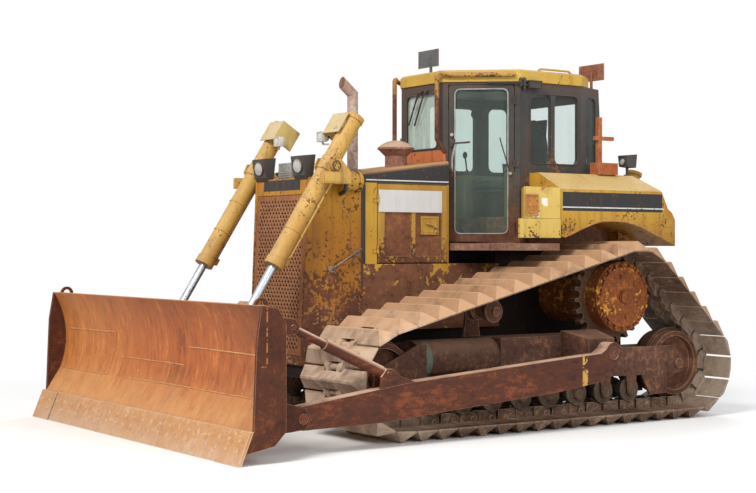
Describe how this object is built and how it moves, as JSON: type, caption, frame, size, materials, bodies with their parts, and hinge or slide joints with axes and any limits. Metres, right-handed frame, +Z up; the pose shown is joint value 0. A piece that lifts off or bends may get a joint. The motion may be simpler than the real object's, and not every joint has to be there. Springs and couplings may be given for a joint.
{
  "type": "crawler bulldozer",
  "caption": "Tracked bulldozer with a raised drive sprocket, wide swamp tracks, a straight blade that lifts on outside push arms, a closed cab and opening doors.",
  "frame": {"origin": "on the ground, at the middle of the overall length and width", "axes": "+X towards the blade, +Y to the machine's left, +Z up"},
  "size_m": [5.69, 3.9, 3.39],
  "materials": {
    "yellow_paint": "weathered, rust speckled",
    "rusty_steel": "rusted plate",
    "worn_steel": "worn and rusted",
    "black_paint": "faded, rusty edges",
    "glass": "green tint",
    "chrome": "polished rod",
    "seat_fabric": "dark woven",
    "plastic": "moulded",
    "cast_iron": "cast"
  },
  "bodies": {
    "tractor": {"cab_consoles": "plastic", "cab_floor": "rusty_steel", "cab_front_wall": "black_paint", "cab_glass": "glass", "cab_header": "black_paint", "cab_rear_wall": "black_paint", "cab_roof": "yellow_paint", "cab_side_wall_left": "black_paint", "cab_side_wall_right": "black_paint", "carrier_rollers": "rusty_steel", "cross_beams": "rusty_steel", "drawbar": "rusty_steel", "engine_block": "cast_iron", "engine_side_panels": "rusty_steel", "exhaust_stack": "rusty_steel", "fender_boxes": "yellow_paint", "fender_left": "yellow_paint", "fender_right": "yellow_paint", "final_drives": "rusty_steel", "front_lamps": "black_paint", "hood": "yellow_paint", "idlers": "worn_steel", "lift_yokes": "yellow_paint", "main_frame": "rusty_steel", "pre_cleaner": "rusty_steel", "radiator": "black_paint", "radiator_guard": "yellow_paint", "rear_lamps": "black_paint", "rear_post": "rusty_steel", "rear_tank": "yellow_paint", "riser_tubes": "black_paint", "roof_plates": "rusty_steel", "seat": "plastic", "seat_cushions": "seat_fabric", "sprockets": "worn_steel", "track_frames": "rusty_steel", "track_left": "worn_steel", "track_right": "worn_steel", "track_rollers": "worn_steel", "trunnions": "rusty_steel"},
    "blade_assembly": {"blade": "rusty_steel", "blade_ribs": "rusty_steel", "cutting_edge": "worn_steel", "push_arm_left": "rusty_steel", "push_arm_right": "rusty_steel", "tilt_braces": "rusty_steel"},
    "lift_barrel_left": {"lift_barrel_left": "yellow_paint", "lift_cover_left": "yellow_paint"},
    "lift_rod_left": {"lift_rod_left": "chrome"},
    "engine_door_left": {"engine_door_left": "yellow_paint"},
    "cab_door_left": {"cab_door_left": "black_paint", "cab_door_glass_left": "glass"},
    "lift_barrel_right": {"lift_barrel_right": "yellow_paint", "lift_cover_right": "yellow_paint"},
    "lift_rod_right": {"lift_rod_right": "chrome"},
    "engine_door_right": {"engine_door_right": "yellow_paint"},
    "cab_door_right": {"cab_door_right": "black_paint", "cab_door_glass_right": "glass"},
    "grille_door": {"grille_door": "rusty_steel"}
  },
  "joints": [
    {"name": "blade_lift", "type": "hinge", "parent": "tractor", "child": "blade_assembly", "pos_m": [-0.972, 0, 0.655], "axis": [0, 1, 0], "range_deg": [-16.3, 8.5]},
    {"name": "lift_trunnion_left", "type": "hinge", "parent": "tractor", "child": "lift_barrel_left", "pos_m": [1.238, 0.61, 2.25], "axis": [0, 1, 0], "range_deg": [-16.73, 8.77]},
    {"name": "lift_stroke_left", "type": "slide", "parent": "lift_barrel_left", "child": "lift_rod_left", "axis": [0.5378, 0, -0.843], "range_m": [-0.7691, 0.4016]},
    {"name": "cab_door_left_hinge", "type": "hinge", "parent": "tractor", "child": "cab_door_left", "pos_m": [-0.65876, 0.76643, 2.33], "axis": [0, 0, 1], "range_deg": [0, 75]},
    {"name": "engine_door_left_hinge", "type": "hinge", "parent": "tractor", "child": "engine_door_left", "pos_m": [0.661, 0.511, 1.775], "axis": [0, 0, -1], "range_deg": [0, 105]},
    {"name": "lift_trunnion_right", "type": "hinge", "parent": "tractor", "child": "lift_barrel_right", "pos_m": [1.238, -0.61, 2.25], "axis": [0, 1, 0], "range_deg": [-16.73, 8.77]},
    {"name": "lift_stroke_right", "type": "slide", "parent": "lift_barrel_right", "child": "lift_rod_right", "axis": [0.5378, 0, -0.843], "range_m": [-0.7691, 0.4016]},
    {"name": "cab_door_right_hinge", "type": "hinge", "parent": "tractor", "child": "cab_door_right", "pos_m": [-0.65876, -0.76643, 2.33], "axis": [0, 0, -1], "range_deg": [0, 75]},
    {"name": "engine_door_right_hinge", "type": "hinge", "parent": "tractor", "child": "engine_door_right", "pos_m": [0.661, -0.511, 1.775], "axis": [0, 0, 1], "range_deg": [0, 105]},
    {"name": "grille_door_hinge", "type": "hinge", "parent": "tractor", "child": "grille_door", "pos_m": [1.37728, 0.418, 1.328], "axis": [-0.0454, 0, 0.999], "range_deg": [0, 80]}
  ],
  "couplings": [
    {"joint": "lift_trunnion_left", "follows": "blade_lift", "ratio": 1.02},
    {"joint": "lift_stroke_left", "follows": "blade_lift", "m_per_rad": 2.7},
    {"joint": "lift_trunnion_right", "follows": "blade_lift", "ratio": 1.02},
    {"joint": "lift_stroke_right", "follows": "blade_lift", "m_per_rad": 2.7}
  ]
}
